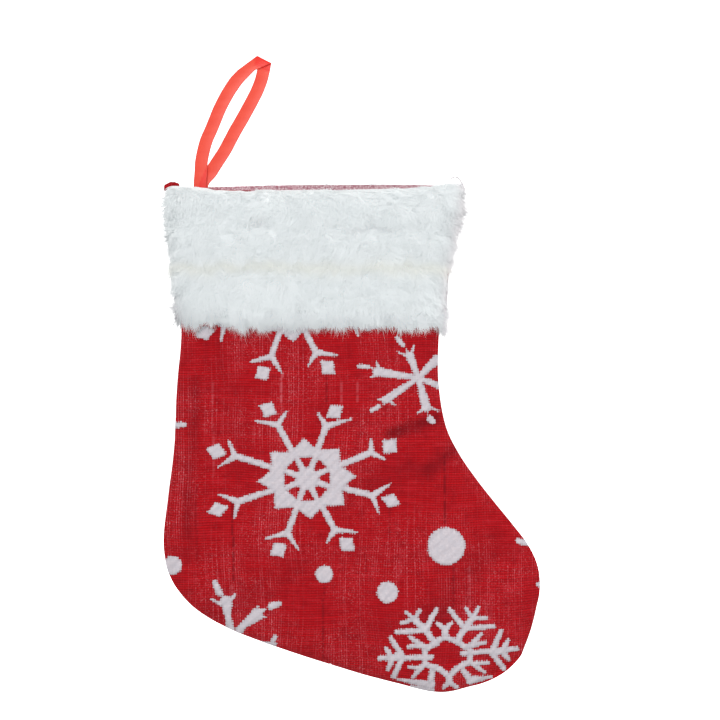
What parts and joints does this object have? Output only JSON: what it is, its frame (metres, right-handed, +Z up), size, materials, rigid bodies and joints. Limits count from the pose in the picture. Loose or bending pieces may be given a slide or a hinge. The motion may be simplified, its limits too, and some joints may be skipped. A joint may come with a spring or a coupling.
{
  "type": "hanging stocking",
  "caption": "Flat hanging stocking of red woven cloth with a raised pale snowflake pattern, a deep white plush cuff round its open mouth, and a ribbon loop to hang it by.",
  "frame": {"origin": "the middle of the ribbon's folded top, just above the gap that a hook goes through", "axes": "+Z up as the stocking stands in use, -Y towards the front face, +X towards the toe; the side seams lie in the plane Y = 0"},
  "size_m": [0.1812, 0.0272, 0.3046],
  "materials": {
    "jacquard_cloth": "red jacquard cloth with a fine ribbed weave and raised grey-white motifs",
    "plush_pile": "cool white short-pile plush, combed downwards",
    "satin_ribbon": "coral red satin ribbon with a soft lengthwise sheen",
    "sewing_thread": "dusty rose polyester sewing thread and overlocked seam edge"
  },
  "bodies": {
    "stocking": {"back_panel": "jacquard_cloth", "back_cuff": "plush_pile", "perimeter_seam": "sewing_thread", "back_cuff_seam": "sewing_thread", "left_cuff_side_seam": "sewing_thread", "right_cuff_side_seam": "sewing_thread", "ribbon_tail": "satin_ribbon", "ribbon_bar_tack": "sewing_thread"},
    "front_wall": {"front_panel": "jacquard_cloth", "front_cuff": "plush_pile", "front_cuff_seam": "sewing_thread"},
    "ribbon_base": {"ribbon_foot": "satin_ribbon"},
    "ribbon_top": {"ribbon_loop": "satin_ribbon"}
  },
  "joints": [
    {"name": "mouth_open", "type": "hinge", "parent": "stocking", "child": "front_wall", "pos_m": [0.03, 0, -0.2865], "axis": [0.9578, 0, -0.2873], "range_deg": [0, 4.7], "stiffness_Nm_per_rad": 0.1, "springref_deg": -2.86},
    {"name": "ribbon_swing", "type": "hinge", "parent": "stocking", "child": "ribbon_base", "pos_m": [-0.027, 0.0016, -0.0578], "axis": [0, 1, 0], "range_deg": [-50, 30], "stiffness_Nm_per_rad": 0.002},
    {"name": "ribbon_flop", "type": "hinge", "parent": "ribbon_base", "child": "ribbon_top", "pos_m": [-0.0265, 0.0016, -0.05], "axis": [1, 0, 0], "range_deg": [-60, 60], "stiffness_Nm_per_rad": 0.002}
  ]
}
